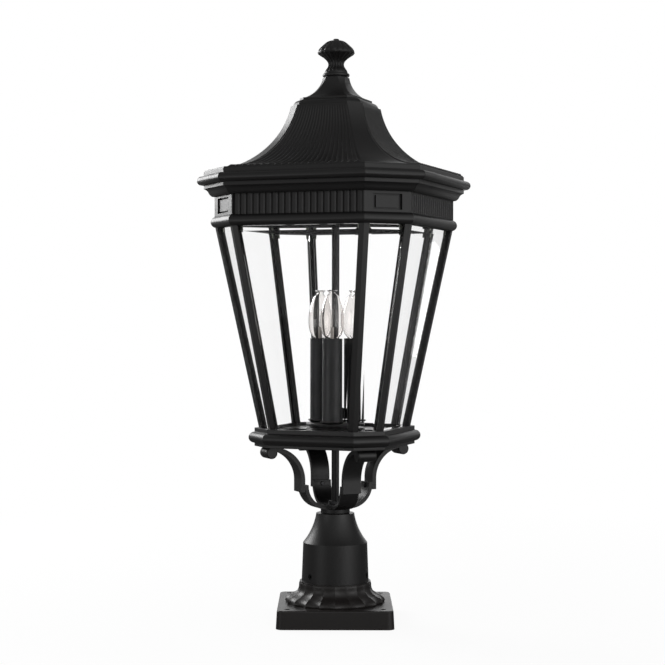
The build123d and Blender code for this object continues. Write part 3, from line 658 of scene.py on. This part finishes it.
class PEDESTAL_OT_arms(bpy.types.Operator):
    """Finish the cradle, the scroll arms and their fasteners"""

    bl_idname = "pedestal.arms"
    bl_label = "Cradle and scroll arms"

    def execute(self, context):
        for node in ["arm_cradle"] + numbered("scroll_arm", 4):
            eased_copy(node, context.scene.light_details.strap_arris, STRAP_ANGLES)
        coat("lap_screws", "arm_studs", "hub_locknut", "stem_foot_nut", "central_stem")
        return {"FINISHED"}


class PEDESTAL_OT_frames(bpy.types.Operator):
    """Finish the lower and upper frames, the floor and the glazing bars"""

    bl_idname = "pedestal.frames"
    bl_label = "Frames and glazing bars"

    def execute(self, context):
        eased_copy("bottom_frame", context.scene.light_details.moulding_arris, MOULDING_ANGLES)
        coat("floor_plate", "top_frame", "pane_clips", *numbered("glazing_bar", 8))
        return {"FINISHED"}


class PEDESTAL_OT_panes(bpy.types.Operator):
    """Finish the bevelled panes"""

    bl_idname = "pedestal.panes"
    bl_label = "Bevelled panes"

    def execute(self, context):
        coat(*numbered("broad_pane", 4), *numbered("corner_pane", 4))
        return {"FINISHED"}


class PEDESTAL_OT_candles(bpy.types.Operator):
    """Finish the cluster plate, the cups, the sleeves and the lamp holders"""

    bl_idname = "pedestal.candles"
    bl_label = "Candle cluster"

    def execute(self, context):
        coat("cluster_canopy", "hub_cover", "candle_cups", "lamp_holders", *numbered("candle_sleeve", 3))
        return {"FINISHED"}


class PEDESTAL_OT_bulbs(bpy.types.Operator):
    """Finish the clear flame bulbs with their caps and filaments"""

    bl_idname = "pedestal.bulbs"
    bl_label = "Bulbs"

    def execute(self, context):
        for kind in ("bulb_cap", "bulb_glass", "bulb_filament"):
            coat(*numbered(kind, 3))
        return {"FINISHED"}


def roof_outline(turn):
    """Points (distance, height) up the outside of the roof, and its half width there, on one broad side."""
    mesh = frame["nodes"]["roof_shell"].data
    tree = BVHTree.FromPolygons([v.co for v in mesh.vertices], [list(p.vertices) for p in mesh.polygons])
    heights = [v.co.z for v in mesh.vertices]
    low, high = min(heights) + REED_FOOT, max(heights) - REED_TOP
    broad = Vector((math.sin(turn), -math.cos(turn), 0))
    corner = Matrix.Rotation(math.radians(45), 3, "Z") @ broad
    points, halves = [], []
    for step in range(OUTLINE_STEPS + 1):
        height = low + (high - low) * (step / OUTLINE_STEPS) ** CROWDING
        level = Vector((0, 0, height))
        found = [tree.ray_cast(way * ROOF_REACH + level, -way)[0] for way in (broad, corner)]
        if None in found:
            raise RuntimeError("the roof has no outside at " + str(height))
        distance, slant = [place.dot(way) for place, way in zip(found, (broad, corner))]
        points.append(Vector((distance, height)))
        halves.append(slant * math.sqrt(2) - distance)
    return points, halves


def roof_reeding(sizes):
    """A closed skin of half-round reeds with rounded feet, which fan out down one broad side of the roof."""
    points, halves = roof_outline(sizes.head_turn)
    lengths = [0.0]
    for before, after in zip(points, points[1:]):
        lengths.append(lengths[-1] + (after - before).length)
    cells = sizes.roof_reeds * REED_FACETS + 2
    bpy.ops.mesh.primitive_grid_add(x_subdivisions=cells, y_subdivisions=REED_ROWS, size=2)
    skin = bpy.context.object
    skin.name = "roof_reeds_1"
    broad = Vector((math.sin(sizes.head_turn), -math.cos(sizes.head_turn), 0))
    along = Vector((math.cos(sizes.head_turn), math.sin(sizes.head_turn), 0))
    nose = halves[0] * (1 - sizes.reed_border) / sizes.roof_reeds / 2
    for vertex in skin.data.vertices:
        column = round((vertex.co.x + 1) / 2 * cells)
        row = round((vertex.co.y + 1) / 2 * REED_ROWS)
        run = lengths[-1] * (row / REED_ROWS) ** CROWDING
        passed = (i for i, length in enumerate(lengths) if length >= run)
        index = max(1, next(passed, len(lengths) - 1))
        share = (run - lengths[index - 1]) / (lengths[index] - lengths[index - 1])
        place = points[index - 1].lerp(points[index], share)
        half = (halves[index - 1] * (1 - share) + halves[index] * share) * (1 - sizes.reed_border)
        rising = (points[index] - points[index - 1]).normalized()
        inside = min(max(column - 1, 0), cells - 2)
        across = (inside % REED_FACETS) / REED_FACETS * 2 - 1
        foot = max(0.0, 1 - run / nose)
        roundness = max(0.0, 1 - across * across - foot * foot)
        rise = sizes.reed_rise * (half / halves[0]) ** REED_FALL * roundness
        edge = column in (0, cells) or row in (0, REED_ROWS)
        lift = -REED_EDGE_DROP if edge else REED_LIFT + rise
        out = place + Vector((rising.y, -rising.x)) * lift
        side = half * (2 * inside / (cells - 2) - 1)
        vertex.co = broad * out.x + along * side + Vector((0, 0, out.y))
    settle(skin)
    apply_modifier(skin, "SOLIDIFY", thickness=REED_SKIN, offset=-1.0)
    edit(skin)
    bpy.ops.mesh.normals_make_consistent(inside=False)
    leave_edit()
    smooth(skin, REED_SMOOTH)
    return mount(skin, "roof_shell")


def turned_copy(piece, name, angle):
    """A copy with a mesh of its own, turned about the stem's axis."""
    copy = piece.copy()
    copy.data = piece.data.copy()
    copy.name = name
    bpy.context.scene.collection.objects.link(copy)
    edit(copy)
    bpy.ops.transform.rotate(value=-angle, orient_axis="Z", center_override=(0, 0, 0))
    leave_edit()
    return copy


class PEDESTAL_OT_roof(bpy.types.Operator):
    """Finish the cornice, the swept roof, its cap, the washer and the finial"""

    bl_idname = "pedestal.roof"
    bl_label = "Roof and finial"

    def execute(self, context):
        sizes = context.scene.light_details
        for node in ("cornice", "roof_cap"):
            eased_copy(node, sizes.moulding_arris, MOULDING_ANGLES)
        coat("roof_shell", "finial_washer", "finial")
        reeding = roof_reeding(sizes)
        for index in range(1, 4):
            copy = turned_copy(reeding, f"roof_reeds_{index + 1}", math.radians(90 * index))
            mount(copy, "roof_shell")
        return {"FINISHED"}


class PEDESTAL_PT_panel(bpy.types.Panel):
    """Sizes, finishes and steps of the pedestal light"""

    bl_idname = "PEDESTAL_PT_panel"
    bl_label = "Pedestal light"
    bl_space_type = "VIEW_3D"
    bl_region_type = "UI"
    bl_category = "Pedestal light"

    def draw(self, context):
        for group in (
            context.scene.light_view,
            context.scene.light_finishes,
            context.scene.light_details,
        ):
            box = self.layout.box()
            for name in group.bl_rna.properties.keys():
                if name not in {"rna_type", "name"}:
                    box.prop(group, name)
        for operator in OPERATORS:
            self.layout.operator(operator.bl_idname)


OPERATORS = (
    PEDESTAL_OT_base,
    PEDESTAL_OT_arms,
    PEDESTAL_OT_frames,
    PEDESTAL_OT_panes,
    PEDESTAL_OT_candles,
    PEDESTAL_OT_bulbs,
    PEDESTAL_OT_roof,
    PEDESTAL_OT_stage,
)
GROUPS = (LightView, LightFinishes, LightDetails)


def register():
    """Add the classes and the settings of the scene."""
    for item in (*GROUPS, *OPERATORS, PEDESTAL_PT_panel):
        bpy.utils.register_class(item)
    bpy.types.Scene.light_view = bpy.props.PointerProperty(type=LightView)
    bpy.types.Scene.light_finishes = bpy.props.PointerProperty(type=LightFinishes)
    bpy.types.Scene.light_details = bpy.props.PointerProperty(type=LightDetails)


def unregister():
    """Take the settings and the classes away again."""
    del bpy.types.Scene.light_details
    del bpy.types.Scene.light_finishes
    del bpy.types.Scene.light_view
    for item in reversed((*GROUPS, *OPERATORS, PEDESTAL_PT_panel)):
        bpy.utils.unregister_class(item)


def main():
    """Register the add-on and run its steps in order."""
    register()
    make_finishes()
    for operator in OPERATORS:
        _, name = operator.bl_idname.split(".")
        getattr(bpy.ops.pedestal, name)()


if __name__ == "__main__":
    main()
